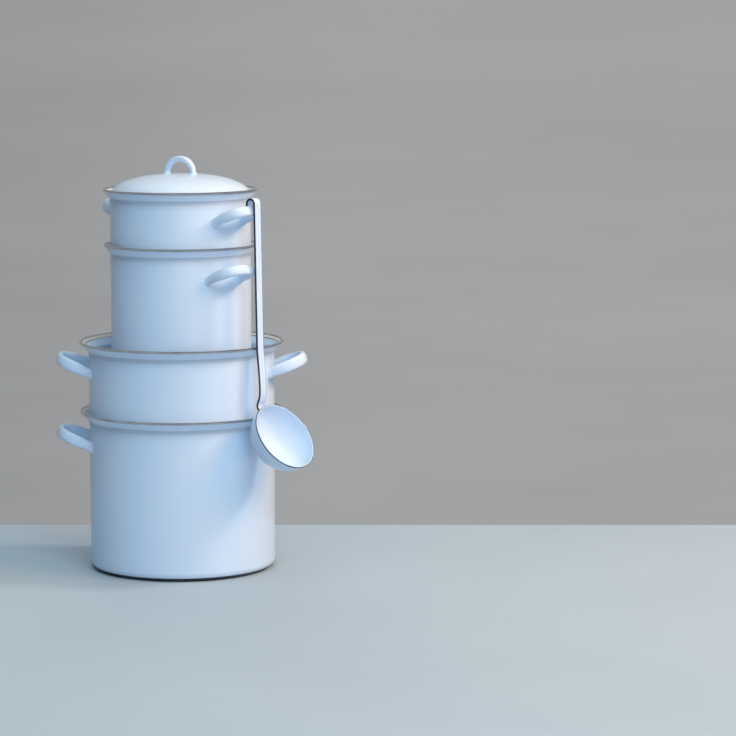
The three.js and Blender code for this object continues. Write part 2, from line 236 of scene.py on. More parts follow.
# Glaze: the dipped enamel's soft unevenness, its fine ripple and the odd pinhole and iron speck,
# and its painted light: painted shade darkening the crease under the flare, and painted light
# paling the flare itself.
glaze, given = new_tree(
    "glaze", "ShaderNodeTree",
    [("Colour", "Color"), ("Deep colour", "Color"), ("Painted light", "Float"), ("Ripple size", "Float"),
     ("Roughness", "Float"), ("Speck size", "Float")],
    [("Colour", "Color"), ("Roughness", "Float"), ("Height", "Float")])
place = step(glaze, "ShaderNodeTexCoord").outputs["Object"]
pooling = step(glaze, "ShaderNodeTexNoise", {
    "Vector": place, "Scale": 14.0, "Detail": 3.0, "Roughness": 0.55})
pooled = step(glaze, "ShaderNodeMapRange", {
    "Value": pooling.outputs[0], "From Min": 0.3, "From Max": 0.7, "To Min": 0.0, "To Max": 1.0})
toned = step(glaze, "ShaderNodeMix", {
    "Factor": pooled.outputs[0], "A": given["Colour"], "B": given["Deep colour"]},
    data_type="RGBA")
ripple = step(glaze, "ShaderNodeTexNoise", {
    "Vector": place, "Scale": given["Ripple size"], "Detail": 2.0, "Roughness": 0.5})
long_wave = step(glaze, "ShaderNodeTexNoise", {
    "Vector": place, "Scale": 32.0, "Detail": 1.0, "Roughness": 0.4})
specks = step(glaze, "ShaderNodeTexVoronoi", {"Vector": place, "Scale": 130.0, "Randomness": 1.0})
rare = step(glaze, "ShaderNodeSeparateColor", {"Color": specks.outputs["Color"]})
speck_reach = step(glaze, "ShaderNodeMapRange", {
    "Value": rare.outputs[0], "From Min": 0.93, "From Max": 1.0,
    "To Min": 0.0, "To Max": given["Speck size"]})
speck = step(glaze, "ShaderNodeMapRange", {
    "Value": reckon(glaze, "SUBTRACT", speck_reach.outputs[0], specks.outputs["Distance"]),
    "From Min": 0.0, "From Max": 0.02, "To Min": 0.0, "To Max": 0.55})
speckled = step(glaze, "ShaderNodeMix", {
    "Factor": speck.outputs[0], "A": toned.outputs["Result"], "B": (0.10, 0.11, 0.14, 1)},
    data_type="RGBA")
# Painted shade and light: marked points darken the crease under the flare and pale the flare.
painted_light_scale = step(glaze, "ShaderNodeMapRange", {
    "Value": given["Painted light"], "From Min": -1.0, "From Max": 0.2, "To Min": 0.75, "To Max": 1.05})
with_painted_light = step(glaze, "ShaderNodeVectorMath", {
    0: speckled.outputs["Result"], "Scale": painted_light_scale.outputs[0]}, operation="SCALE")
wiped = step(glaze, "ShaderNodeTexNoise", {
    "Vector": place, "Scale": 60.0, "Detail": 5.0, "Roughness": 0.65})
gloss = step(glaze, "ShaderNodeMapRange", {
    "Value": wiped.outputs[0], "From Min": 0.35, "From Max": 0.75, "To Min": -0.03, "To Max": 0.06})
height = reckon(glaze, "ADD", reckon(glaze, "MULTIPLY", long_wave.outputs[0], 3.0),
                reckon(glaze, "MULTIPLY", ripple.outputs[0], 0.35))
height = reckon(glaze, "SUBTRACT", height, reckon(glaze, "MULTIPLY", speck.outputs[0], 0.4))
step(glaze, "NodeGroupOutput", {
    "Colour": with_painted_light.outputs[0], "Height": height,
    "Roughness": reckon(glaze, "ADD", given["Roughness"], gloss.outputs[0])})

# Bare edge: where the pale coat stops short, the blue-black ground coat under it shows.
bare_edge, given = new_tree(
    "bare_edge", "ShaderNodeTree",
    [("Colour", "Color"), ("Ground coat", "Color"), ("Bare", "Float"), ("Roughness", "Float")],
    [("Colour", "Color"), ("Roughness", "Float")])
place = step(bare_edge, "ShaderNodeTexCoord").outputs["Object"]
fray = step(bare_edge, "ShaderNodeTexNoise", {"Vector": place, "Scale": 420.0, "Detail": 3.0})
fray_depth = reckon(bare_edge, "MULTIPLY", reckon(bare_edge, "SUBTRACT", fray.outputs[0], 0.5), 0.35)
bared = step(bare_edge, "ShaderNodeMapRange", {
    "Value": reckon(bare_edge, "ADD", given["Bare"], fray_depth),
    "From Min": 0.42, "From Max": 0.58, "To Min": 0.0, "To Max": 1.0},
    interpolation_type="SMOOTHSTEP")
grit = step(bare_edge, "ShaderNodeTexNoise", {"Vector": place, "Scale": 900.0, "Detail": 2.0})
flecked = step(bare_edge, "ShaderNodeMix", {
    "Factor": reckon(bare_edge, "MULTIPLY", grit.outputs[0], 0.25),
    "A": given["Ground coat"], "B": (0.12, 0.14, 0.19, 1)}, data_type="RGBA")
covered = step(bare_edge, "ShaderNodeMix", {
    "Factor": bared.outputs[0], "A": given["Colour"], "B": flecked.outputs["Result"]},
    data_type="RGBA")
step(bare_edge, "NodeGroupOutput", {
    "Colour": covered.outputs["Result"],
    "Roughness": reckon(bare_edge, "ADD", given["Roughness"],
                        reckon(bare_edge, "MULTIPLY", bared.outputs[0], 0.08))})


def enamel(name, ripple_size=420.0, roughness=0.2, speck_size=0.055):
    """The ware's fired enamel, as it comes out on one kind of piece, over its ground coat."""
    finish, tree = new_finish(name)
    # The profile's painted light: painted shade in the crease, painted light on the flare.
    painted_light_attribute = step(tree, "ShaderNodeAttribute", attribute_name="tone_and_painted_light")
    tone_and_painted_light = step(tree, "ShaderNodeGroup", {
        "Colour": (*pale_blue, 1), "Deep colour": (*deep_blue, 1),
        "Painted light": painted_light_attribute.outputs["Fac"], "Ripple size": ripple_size,
        "Roughness": roughness, "Speck size": speck_size}, node_tree=glaze)
    bare = step(tree, "ShaderNodeAttribute", attribute_name="bare")
    edge = step(tree, "ShaderNodeGroup", {
        "Colour": tone_and_painted_light.outputs["Colour"], "Ground coat": (*ground_coat, 1),
        "Bare": bare.outputs["Fac"], "Roughness": tone_and_painted_light.outputs["Roughness"]}, node_tree=bare_edge)
    relief = step(tree, "ShaderNodeBump", {
        "Strength": 0.25, "Distance": 0.0004, "Height": tone_and_painted_light.outputs["Height"]})
    skin = step(tree, "ShaderNodeBsdfPrincipled", {
        "Base Color": edge.outputs["Colour"], "Roughness": edge.outputs["Roughness"],
        "IOR": 1.55, "Normal": relief.outputs[0]})
    step(tree, "ShaderNodeOutputMaterial", {"Surface": skin.outputs[0]})
    return finish


def node_base(node):
    """Height of a solid's underside, in mm."""
    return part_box(node)[0].z / mm


def settle(piece, node, body, lift=0):
    """Lifts a finished piece to its place and puts it in for the solid that it stands for."""
    piece.data.transform(Matrix.Translation((0, 0, lift * mm)))
    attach(piece, body)
    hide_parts(node)


pot_enamel = enamel("pot_enamel")


def drawn_body(pot, form, height):
    """A pot's enamelled body, set in its place."""
    piece = spun(f"{pot}_enamel_body", pot_profile(form, height), pot_enamel)
    settle(piece, f"{pot}_body", pot, node_base(f"{pot}_body"))


drawn_body("large_stockpot", large_form, large_stockpot_height)


# Large stockpot rim band. A strip of bright steel rolled round the raw edge of the sheet into a
# round bead, with one flat leg left inside the flare; fine lines from the rolls run along it.
band_radius, band_leg, band_sheet = 1.7, 5.8, 0.35


def band_profile(form, height):
    """The bead, clamped over the edge of the flare, and the leg that lies against its inside."""
    length = math.hypot(form.flare_out, form.flare_up)
    along = Vector((form.flare_out, form.flare_up)) / length
    inward = Vector((-form.flare_up, form.flare_out)) / length
    centre = Vector((form.wall + form.flare_out, height)) + inward * sheet / 2
    slack, slot_depth = 0.1, 0.3
    slot = sheet / 2 + slack
    face = slot + band_sheet
    shaded_foot, foot_fade, bead_fade, bead_steps = 1.2, 0.3, 0.2, 28
    start = math.pi - math.asin(face / band_radius)
    end = math.asin(slot / band_radius) - math.pi
    bead_end = band_radius * math.cos(start)
    # The fifth value is a painted sheen: the leg's face is painted pale as a painted reflection, and
    # its foot is left dark as a painted shadow line where the leg's edge meets the flare.
    ring = [(-band_leg, slot, 0.1, 0), (-band_leg, face, 0.12, 0), (shaded_foot - band_leg, face, 0, 0),
            (shaded_foot + foot_fade - band_leg, face, 0, 1), (bead_end - bead_fade, face, 0, 1)]
    for i in range(bead_steps + 1):
        angle = start + (end - start) * i / bead_steps
        ring.append((band_radius * math.cos(angle), band_radius * math.sin(angle), 0, 0))
    ring += [(slot_depth, -slot, 0.2, 0), (slot_depth, slot, 0.2, 0)]
    points = []
    for forward, across, bend, painted_sheen in ring:
        point = centre + along * forward + inward * across
        points.append((point.x, point.y, bend, 0, painted_sheen))
    return points


band_steel, tree = new_finish("band_steel")
place = step(tree, "ShaderNodeTexCoord").outputs["Object"]
spot = step(tree, "ShaderNodeSeparateXYZ", {"Vector": place}).outputs
from_axis = reckon(tree, "SQRT", reckon(
    tree, "ADD", reckon(tree, "POWER", spot["X"], 2.0), reckon(tree, "POWER", spot["Y"], 2.0)))
across = step(tree, "ShaderNodeCombineXYZ", {
    "X": reckon(tree, "MULTIPLY", from_axis, 2600.0),
    "Y": reckon(tree, "MULTIPLY", spot["Z"], 2600.0),
    "Z": reckon(tree, "MULTIPLY", reckon(tree, "ARCTAN2", spot["Y"], spot["X"]), 1.5)})
roll_lines = step(tree, "ShaderNodeTexNoise", {
    "Vector": across.outputs[0], "Scale": 1.0, "Detail": 3.0})
tarnish = step(tree, "ShaderNodeTexNoise", {
    "Vector": place, "Scale": 45.0, "Detail": 4.0, "Roughness": 0.6})
steel_tone = step(tree, "ShaderNodeValToRGB", {"Fac": tarnish.outputs[0]})
dull, bright = steel_tone.color_ramp.elements
dull.position, dull.color = 0.3, (0.46, 0.48, 0.51, 1)
bright.position, bright.color = 0.7, (0.64, 0.66, 0.68, 1)
steel_gloss = step(tree, "ShaderNodeMapRange", {
    "Value": roll_lines.outputs[0], "From Min": 0.3, "From Max": 0.7, "To Min": 0.16, "To Max": 0.32})
relief = step(tree, "ShaderNodeBump", {
    "Strength": 0.15, "Distance": 0.0002, "Height": roll_lines.outputs[0]})
# The painted sheen: the leg's face turns pale and less metallic, a painted reflection.
painted_sheen = step(tree, "ShaderNodeAttribute", attribute_name="tone_and_painted_light").outputs["Fac"]
steel_colour = step(tree, "ShaderNodeMix", {
    "Factor": painted_sheen, "A": steel_tone.outputs[0], "B": (0.80, 0.80, 0.72, 1)}, data_type="RGBA")
metal = step(tree, "ShaderNodeBsdfPrincipled", {
    "Base Color": steel_colour.outputs["Result"],
    "Metallic": reckon(tree, "SUBTRACT", 1.0, reckon(tree, "MULTIPLY", painted_sheen, 0.75)),
    "Roughness": steel_gloss.outputs[0], "Normal": relief.outputs[0]})
step(tree, "ShaderNodeOutputMaterial", {"Surface": metal.outputs[0]})


def rolled_band(pot, form, height):
    """A pot's steel band, set over its rim."""
    piece = spun(f"{pot}_steel_band", band_profile(form, height), band_steel, ring=True)
    settle(piece, f"{pot}_rim_band", pot, node_base(f"{pot}_body"))


rolled_band("large_stockpot", large_form, large_stockpot_height)


# Large stockpot handles. Hollow steel pressings, bent into a loop, welded to the wall by their feet
# and enamelled together with the pot, so that the coat runs over the weld in a small fillet.
strap_thickness, weld_sink, leg_past_wall = 8.0, 0.7, 7
large_loop = SimpleNamespace(width=80.0, reach=42.4, slope=20.5, strap=14.0, squareness=0.85)
large_loop_turn, large_stockpot_handle_drop = 90, 38.0
loop_steps, leg_steps = 72, 14

# The loop: a middle line that squares up between an ellipse and a box, swept with a full section
# that is pinched towards its feet and spreads again in a fillet where it comes to the wall.
loop_handle, given = new_tree(
    "loop_handle", "GeometryNodeTree",
    [("Blank", "Geometry"), ("Width", "Float"), ("Reach", "Float"), ("Thickness", "Float"),
     ("Depth", "Float"), ("Legs", "Float"), ("Squareness", "Float"), ("Section fullness", "Float"),
     ("Wall radius", "Float"), ("Foot spread", "Float"), ("Foot length", "Float"),
     ("Pinch", "Float"), ("Pinch length", "Float"), ("Finish", "Material")],
    [("Handle", "Geometry")])
loop_sum = functools.partial(reckon, loop_handle)


def full(value, fullness):
    """The value's power with its sign kept."""
    return loop_sum("MULTIPLY", loop_sum("SIGN", value),
                    loop_sum("POWER", loop_sum("ABSOLUTE", value), fullness))


line = step(loop_handle, "GeometryNodeMeshLine", {"Count": loop_steps + 2 * leg_steps + 1})
order = step(loop_handle, "GeometryNodeInputIndex").outputs[0]
share = step(loop_handle, "ShaderNodeMapRange", {
    "Value": order, "From Min": float(leg_steps), "From Max": float(loop_steps + leg_steps),
    "To Min": -math.pi / 2, "To Max": math.pi / 2})
sine = loop_sum("SINE", share.outputs[0])
cosine = loop_sum("MAXIMUM", loop_sum("COSINE", share.outputs[0]), 0.0)
half_thickness = loop_sum("MULTIPLY", given["Thickness"], 0.5)
half_depth = loop_sum("MULTIPLY", given["Depth"], 0.5)
half_width = loop_sum("MULTIPLY", loop_sum("SUBTRACT", given["Width"], given["Thickness"]), 0.5)
bow = loop_sum("MULTIPLY", loop_sum("SUBTRACT", given["Reach"], half_thickness),
               loop_sum("POWER", cosine, given["Squareness"]))
from_middle = loop_sum("ABSOLUTE", loop_sum("SUBTRACT", order, float(loop_steps // 2 + leg_steps)))
down_leg = loop_sum("DIVIDE", loop_sum("SUBTRACT", from_middle, float(loop_steps // 2)),
                    float(leg_steps))
middle = step(loop_handle, "ShaderNodeCombineXYZ", {
    "X": loop_sum("SUBTRACT", bow, loop_sum(
        "MULTIPLY", given["Legs"], loop_sum("MAXIMUM", 0.0, down_leg))),
    "Y": loop_sum("MULTIPLY", half_width, full(sine, given["Squareness"]))})
laid = step(loop_handle, "GeometryNodeSetPosition", {
    "Geometry": line.outputs[0], "Position": middle.outputs[0]})
bent = step(loop_handle, "GeometryNodeMeshToCurve", {"Mesh": laid.outputs[0]})
even = step(loop_handle, "GeometryNodeResampleCurve", {"Curve": bent.outputs[0], "Count": 150})
upright = step(loop_handle, "GeometryNodeSetCurveNormal", {"Curve": even.outputs[0]}, mode="Z_UP")
# The place of a point on whichever it is asked of: the middle line, or further down the section.
position = step(loop_handle, "GeometryNodeInputPosition").outputs[0]
at = step(loop_handle, "ShaderNodeSeparateXYZ", {"Vector": position}).outputs
wall_x = loop_sum("SUBTRACT", loop_sum("SQRT", loop_sum(
    "SUBTRACT", loop_sum("POWER", given["Wall radius"], 2.0), loop_sum("POWER", at["Y"], 2.0))),
    given["Wall radius"])
from_wall = loop_sum("SUBTRACT", at["X"], wall_x)
near_wall = step(loop_handle, "ShaderNodeMapRange", {
    "Value": from_wall, "From Min": given["Foot length"], "From Max": 0.0,
    "To Min": 0.0, "To Max": 1.0})
pinched = step(loop_handle, "ShaderNodeMapRange", {
    "Value": from_wall, "From Min": given["Pinch length"], "From Max": 0.0,
    "To Min": 1.0, "To Max": given["Pinch"]}, interpolation_type="SMOOTHSTEP")
spread = loop_sum("ADD", pinched.outputs[0], loop_sum(
    "MULTIPLY", given["Foot spread"], loop_sum("POWER", near_wall.outputs[0], 2.2)))
section = step(loop_handle, "GeometryNodeCurvePrimitiveCircle", {"Resolution": 48, "Radius": 1.0})
section_point = step(loop_handle, "ShaderNodeCombineXYZ", {
    "X": loop_sum("MULTIPLY", full(at["X"], given["Section fullness"]), half_thickness),
    "Y": loop_sum("MULTIPLY", full(at["Y"], given["Section fullness"]), half_depth)})
shaped = step(loop_handle, "GeometryNodeSetPosition", {
    "Geometry": section.outputs[0], "Position": section_point.outputs[0]})
tube = step(loop_handle, "GeometryNodeCurveToMesh", {
    "Curve": upright.outputs[0], "Profile Curve": shaped.outputs[0], "Scale": spread,
    "Fill Caps": True})
closed = step(loop_handle, "GeometryNodeMergeByDistance", {
    "Geometry": tube.outputs[0], "Distance": join_within})
whole = step(loop_handle, "GeometryNodeRealizeInstances", {"Geometry": closed.outputs[0]})
finished = step(loop_handle, "GeometryNodeSetMaterial", {
    "Geometry": whole.outputs[0], "Material": given["Finish"]})
step(loop_handle, "NodeGroupOutput", {"Handle": finished.outputs[0]})

handle_enamel = enamel("handle_enamel", ripple_size=520.0, roughness=0.17)


def side_handle(name, wall, loop, height, turn):
    """A loop on the wall: bent flat, tipped up by its slope, its feet trimmed to the round wall."""
    recess = wall - math.sqrt(wall ** 2 - (loop.width / 2) ** 2)
    piece = formed(name, bpy.data.meshes.new(name + "_blank"), loop_handle, {
        "Width": loop.width * mm, "Reach": loop.reach * mm, "Thickness": strap_thickness * mm,
        "Depth": loop.strap * mm, "Legs": (recess + leg_past_wall) * mm,
        "Squareness": loop.squareness, "Section fullness": 0.8, "Wall radius": wall * mm,
        "Foot spread": 0.2, "Foot length": 4 * mm, "Pinch": 0.8, "Pinch length": 20 * mm,
        "Finish": handle_enamel})
    piece.data.transform(
        Matrix.Rotation(math.radians(turn - 90), 4, "Z")
        @ Matrix.Translation((wall * mm, 0, height * mm))
        @ Matrix.Rotation(-math.radians(loop.slope), 4, "Y"))
    sunk = (wall - weld_sink) * mm
    for vertex in piece.data.vertices:
        out = vertex.co.xy.length
        if out < sunk:
            vertex.co.xy *= sunk / out
    return piece


def loop_pair(pot, form, loop, height, turn):
    """A pot's two loops at one height, the right one turned this way and the left one opposite."""
    for side, way in (("right", turn), ("left", turn + 180)):
        piece = side_handle(f"{pot}_loop_{side}", form.wall, loop, height, way)
        settle(piece, f"{pot}_handle_{side}", pot, node_base(f"{pot}_body"))


loop_pair("large_stockpot", large_form, large_loop,
          large_stockpot_height - large_stockpot_handle_drop, large_loop_turn)


# Large casserole. The same drawn and enamelled sheet at about half the height; its rounded base
# sits in the flare of the stockpot. Band and handles are fixed as on the stockpot.
large_casserole_height, casserole_handle_drop = 102.1, 33.0
drawn_body("large_casserole", large_form, large_casserole_height)
rolled_band("large_casserole", large_form, large_casserole_height)
loop_pair("large_casserole", large_form, large_loop,
          large_casserole_height - casserole_handle_drop, large_loop_turn)


# Small stockpot. A narrower deep-drawn pot that stands on the casserole's floor, with the same
# rolled band and smaller loops, turned so that one of them points to the right of the viewer.
small_form = SimpleNamespace(wall=85.8, corner=11, flare_out=7.4, flare_up=11)
small_loop = SimpleNamespace(width=58.0, reach=37.0, slope=22.0, strap=12.5, squareness=0.7)
small_stockpot_height, small_stockpot_handle_drop, small_stockpot_turn = 219.2, 35.5, 43
drawn_body("small_stockpot", small_form, small_stockpot_height)
rolled_band("small_stockpot", small_form, small_stockpot_height)
loop_pair("small_stockpot", small_form, small_loop,
          small_stockpot_height - small_stockpot_handle_drop, small_stockpot_turn)


# Small casserole. The same sheet again, drawn shallow: it nests in the small stockpot's flare as
# the large one does below, and the loop welded on its right carries the ladle.
small_casserole_height, small_casserole_turn = 83.2, 49
drawn_body("small_casserole", small_form, small_casserole_height)
rolled_band("small_casserole", small_form, small_casserole_height)
loop_pair("small_casserole", small_form, small_loop,
          small_casserole_height - casserole_handle_drop, small_casserole_turn)


# Lid. One pressed dome with a short skirt and a lip that rests in the casserole's flare, and an
# arched strap welded across its crown; both are enamelled in one go.
lid_base = node_base("lid_shell")
lid_height, lid_skirt, lid_skirt_height, lid_lip = 27.0, 84.0, 6.7, 86.2
lid_strap_width, lid_strap_thickness, lid_strap_sink = 10.0, 7.0, 1.4
lid_arch_width, lid_arch_height, lid_turn = 43.0, 21.4, 65
as_good_as_flat = 10.0


def dome_curve(radius, crown, skirt):
    """Points of the dome from its crown out to the top of the skirt."""
    level_to, shoulder, shoulder_drop, dome_steps = 0.5, 0.86, 0.34, 40
    knots = [(0, crown), (radius * level_to, crown),
             (radius * shoulder, crown - (crown - skirt) * shoulder_drop), (radius, skirt)]
    curve = []
    for i in range(dome_steps + 1):
        t = i / dome_steps
        weights = ((1 - t) ** 3, 3 * t * (1 - t) ** 2, 3 * t ** 2 * (1 - t), t ** 3)
        curve.append(tuple(sum(w * knot[axis] for w, knot in zip(weights, knots)) for axis in (0, 1)))
    return curve


outside = dome_curve(lid_skirt, lid_height, lid_skirt_height)
inside = dome_curve(lid_skirt - sheet, lid_height - sheet, lid_skirt_height)
lid_profile = [(r, z, 0, 0) for r, z in outside]
lid_profile += [(lid_skirt, sheet, 1.2, 0), (lid_lip, sheet, 0.7, 0), (lid_lip, 0, 0.7, 0),
                (lid_skirt - sheet, 0, 0.6, 0)]
lid_profile += [(r, z, 0, 0) for r, z in reversed(inside)]
lid_enamel = enamel("lid_enamel")
piece = spun("lid_enamel_dome", lid_profile, lid_enamel)
settle(piece, "lid_shell", "lid", lid_base)

piece = formed("lid_arch", bpy.data.meshes.new("lid_arch_blank"), loop_handle, {
    "Width": lid_arch_width * mm, "Reach": lid_arch_height * mm,
    "Thickness": lid_strap_thickness * mm, "Depth": lid_strap_width * mm,
    "Legs": lid_strap_sink * mm, "Squareness": 1.0, "Section fullness": 0.62,
    "Wall radius": as_good_as_flat, "Foot spread": 0.3, "Foot length": 2.5 * mm, "Pinch": 0.78,
    "Pinch length": 17 * mm, "Finish": handle_enamel})
piece.data.transform(
    Matrix.Rotation(math.radians(lid_turn - 90), 4, "Z") @ Matrix.Translation((0, 0, lid_height * mm))
    @ Matrix.Rotation(math.radians(90), 4, "X") @ Matrix.Rotation(math.radians(90), 4, "Z"))
settle(piece, "lid_handle", "lid", lid_base)


# Ladle bowl. Pressed from one disc of sheet and enamelled; the coat is wiped off the rim, which is
# left with a dark edge. Its mouth looks outwards and up as it hangs.
ladle_turn, bowl_tilt = 51.5, math.radians(36)
solid_bowl_radius, solid_bowl_depth, under_solid = 44, 38, 0.1
bowl_radius, bowl_depth = solid_bowl_radius - under_solid, solid_bowl_depth - under_solid
bowl_drop, bowl_clearance, dark_rim = 282.8, 0.5, 0.9
bowl_steps, bowl_sides = 36, 128
rim_reach = large_form.wall + large_form.flare_out - large_form.flare_up / math.hypot(
    large_form.flare_out, large_form.flare_up) * sheet / 2 + band_radius
bowl_back = math.hypot(solid_bowl_radius * math.sin(bowl_tilt), solid_bowl_depth * math.cos(bowl_tilt))
stem_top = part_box("ladle_stem")[1].z / mm
bowl_centre = Vector((rim_reach + bowl_clearance + bowl_back, stem_top - bowl_drop))
in_ladle = Matrix.Rotation(math.radians(ladle_turn - 90), 4, "Z")
quarter = [math.pi / 2 * i / bowl_steps for i in range(bowl_steps)]
bowl_profile = [((bowl_radius - sheet) * math.sin(angle), -(bowl_depth - sheet) * math.cos(angle), 0, 0)
                for angle in quarter]
bowl_profile += [(bowl_radius - sheet, 0, 0.6, 0), (bowl_radius - sheet / 2, 0, 0, 0),
                 (bowl_radius, 0, 0.6, 1), (bowl_radius, -dark_rim, 0, 1)]
bowl_profile += [(bowl_radius * math.sin(angle), -bowl_depth * math.cos(angle), 0, 0)
                 for angle in reversed(quarter)]
ladle_enamel = enamel("ladle_enamel", roughness=0.18, speck_size=0.0)
piece = spun("ladle_enamel_bowl", bowl_profile, ladle_enamel, sides=bowl_sides)
piece.data.transform(
    in_ladle @ Matrix.Translation((bowl_centre.x * mm, 0, bowl_centre.y * mm))
    @ Matrix.Rotation(math.radians(90) - bowl_tilt, 4, "Y"))
settle(piece, "ladle_bowl", "ladle")


# Ladle stem. A strip of steel with a groove rolled down its back for stiffness, bent over into a
# hook at the top and pinched into a neck that is welded to the bowl; its edges stay dark.
stem_width, stem_thickness, groove_width, groove_depth = 11.2, 2.6, 3.0, 0.8
hook_reach, hook_radius, hook_tip, stem_clearance = 117.23, 4.6, 3.0, 0.3
neck_bulge, neck_length, neck_waist = 4.2, 26.0, 8.0
root_angle, weld_depth = math.radians(20), 0.3
hook_steps, shank_steps, neck_steps, strip_bend_steps = 32, 6, 12, 4
bend_radius = hook_radius + stem_thickness / 2
hook_centre = Vector((hook_reach, stem_top - stem_thickness - hook_radius))
lean = rim_reach + stem_clearance + stem_thickness / 2


def on_bowl(angle, below):
    """A point in the ladle's plane on the bowl's outside, or under its skin."""
    across = (bowl_radius - below) * math.cos(angle)
    down = (bowl_depth - below) * math.sin(angle)
    return bowl_centre + Vector((-across * math.sin(bowl_tilt) - down * math.cos(bowl_tilt),
                                 across * math.cos(bowl_tilt) - down * math.sin(bowl_tilt)))


root = on_bowl(root_angle, 0)
stem_line = [hook_centre + Vector((-bend_radius, -hook_tip * share)) for share in (1, 0.5)]
stem_line += [hook_centre + bend_radius * Vector((-math.cos(a), math.sin(a)))
              for a in (math.pi * i / hook_steps for i in range(hook_steps + 1))]
shank_end = Vector((lean, node_base("large_casserole_body") + large_casserole_height))
stem_line += [stem_line[-1].lerp(shank_end, i / shank_steps) for i in range(1, shank_steps + 1)]
knots = [shank_end, Vector((lean + neck_bulge, root.y + neck_length)),
         Vector((lean, root.y + neck_waist)), root, on_bowl(root_angle, weld_depth)]
for i in range(len(knots) - 1):
    before, start = knots[max(i - 1, 0)], knots[i]
    end, after = knots[i + 1], knots[min(i + 2, len(knots) - 1)]
    for t in (k / neck_steps for k in range(1, neck_steps + 1)):
        stem_line.append(0.5 * (
            2 * start + (end - before) * t
            + (2 * before - 5 * start + 4 * end - after) * t ** 2
            + (3 * start - before - 3 * end + after) * t ** 3))

# The strip: a drawn section carried along the stem's middle line.
bent_strip, given = new_tree(
    "bent_strip", "GeometryNodeTree",
    [("Line", "Geometry"), ("Section", "Object"), ("Bend steps", "Int"), ("Finish", "Material")],
    [("Stem", "Geometry")])
line = step(bent_strip, "GeometryNodeMeshToCurve", {"Mesh": given["Line"]})
upright = step(bent_strip, "GeometryNodeSetCurveNormal", {"Curve": line.outputs[0]}, mode="Z_UP")
drawn = step(bent_strip, "GeometryNodeObjectInfo", {"Object": given["Section"]})
ring = step(bent_strip, "GeometryNodeMeshToCurve", {"Mesh": drawn.outputs["Geometry"]})
bend = step(bent_strip, "GeometryNodeInputNamedAttribute", {"Name": "bend"}, data_type="FLOAT")
rounded = step(bent_strip, "GeometryNodeFilletCurve", {
    "Curve": ring.outputs[0], "Count": given["Bend steps"], "Radius": bend.outputs[0],
    "Limit Radius": True}, mode="POLY")
strip = step(bent_strip, "GeometryNodeCurveToMesh", {
    "Curve": upright.outputs[0], "Profile Curve": rounded.outputs[0], "Fill Caps": True})
whole = step(bent_strip, "GeometryNodeRealizeInstances", {"Geometry": strip.outputs[0]})
finished = step(bent_strip, "GeometryNodeSetMaterial", {
    "Geometry": whole.outputs[0], "Material": given["Finish"]})
step(bent_strip, "NodeGroupOutput", {"Stem": finished.outputs[0]})

thick, wide = stem_thickness / 2, stem_width / 2
edge_round, edge_flat, dark_edge, pale_face, pale_back = 0.7, 0.2, 0.9, 1.7, 1.0
strip_section = [
    (-thick, -wide, edge_round, 1), (-thick + edge_flat, -wide, 0, 1),
    (thick - edge_flat, -wide, 0, 1), (thick, -wide, edge_round, 1),
    (thick, -wide + dark_edge, 0, 1), (thick, -wide + pale_face, 0, 0),
    (thick, wide - pale_face, 0, 0), (thick, wide - dark_edge, 0, 1),
    (thick, wide, edge_round, 1), (thick - edge_flat, wide, 0, 1),
    (-thick + edge_flat, wide, 0, 1), (-thick, wide, edge_round, 1),
    (-thick, wide - pale_back, 0, 0), (-thick, groove_width / 2, 0.8, 0),
    (-thick + groove_depth, 0, 0.9, 0),
    (-thick, -groove_width / 2, 0.8, 0), (-thick, -wide + pale_back, 0, 0)]
ring_mesh = bpy.data.meshes.new("strip_section")
ring_mesh.from_pydata([(x * mm, y * mm, 0) for x, y, _, _ in strip_section],
                      [(i, (i + 1) % len(strip_section)) for i in range(len(strip_section))], [])
for label, column, scale in (("bend", 2, mm), ("bare", 3, 1)):
    layer = ring_mesh.attributes.new(label, "FLOAT", "POINT")
    layer.data.foreach_set("value", [point[column] * scale for point in strip_section])
section_object = bpy.data.objects.new("strip_section", ring_mesh)
bpy.context.collection.objects.link(section_object)
line_mesh = bpy.data.meshes.new("stem_line")
line_mesh.from_pydata([(p.x * mm, p.y * mm, 0) for p in stem_line],
                      [(i, i + 1) for i in range(len(stem_line) - 1)], [])
stem_enamel = enamel("stem_enamel", speck_size=0.0)
piece = formed("ladle_enamel_stem", line_mesh, bent_strip, {
    "Section": section_object, "Bend steps": strip_bend_steps, "Finish": stem_enamel})
bpy.data.objects.remove(section_object)
piece.data.transform(in_ladle @ Matrix.Rotation(math.radians(90), 4, "X"))
settle(piece, "ladle_stem", "ladle")


# Floor and wall. A pale painted floor that carries the stack's shadow, and a grey wall a hand
# behind it, which shows from the front only; its glow is painted darker towards the left, a painted
# shade for light from the right. The wall throws no shadow and gives the stack no light but what
# the glaze and steel mirror of it.
floor_half, wall_half, wall_height, wall_back = 9, 6, 5, 0.271

# Uneven paint: faint, broad clouds between a light and a dark tone.
uneven_paint, given = new_tree(
    "uneven_paint", "ShaderNodeTree",
    [("Light", "Color"), ("Dark", "Color"), ("Stretch", "Vector")], [("Colour", "Color")])
laid = step(uneven_paint, "ShaderNodeMapping", {
    "Vector": step(uneven_paint, "ShaderNodeTexCoord").outputs["Object"], "Scale": given["Stretch"]})
broad = step(uneven_paint, "ShaderNodeTexNoise", {
    "Vector": laid.outputs[0], "Scale": 1.0, "Detail": 5.0, "Roughness": 0.6})
clouds = step(uneven_paint, "ShaderNodeMapRange", {
    "Value": broad.outputs[0], "From Min": 0.3, "From Max": 0.7, "To Min": 0.0, "To Max": 1.0})
tone = step(uneven_paint, "ShaderNodeMix", {
    "Factor": clouds.outputs[0], "A": given["Dark"], "B": given["Light"]}, data_type="RGBA")
step(uneven_paint, "NodeGroupOutput", {"Colour": tone.outputs["Result"]})


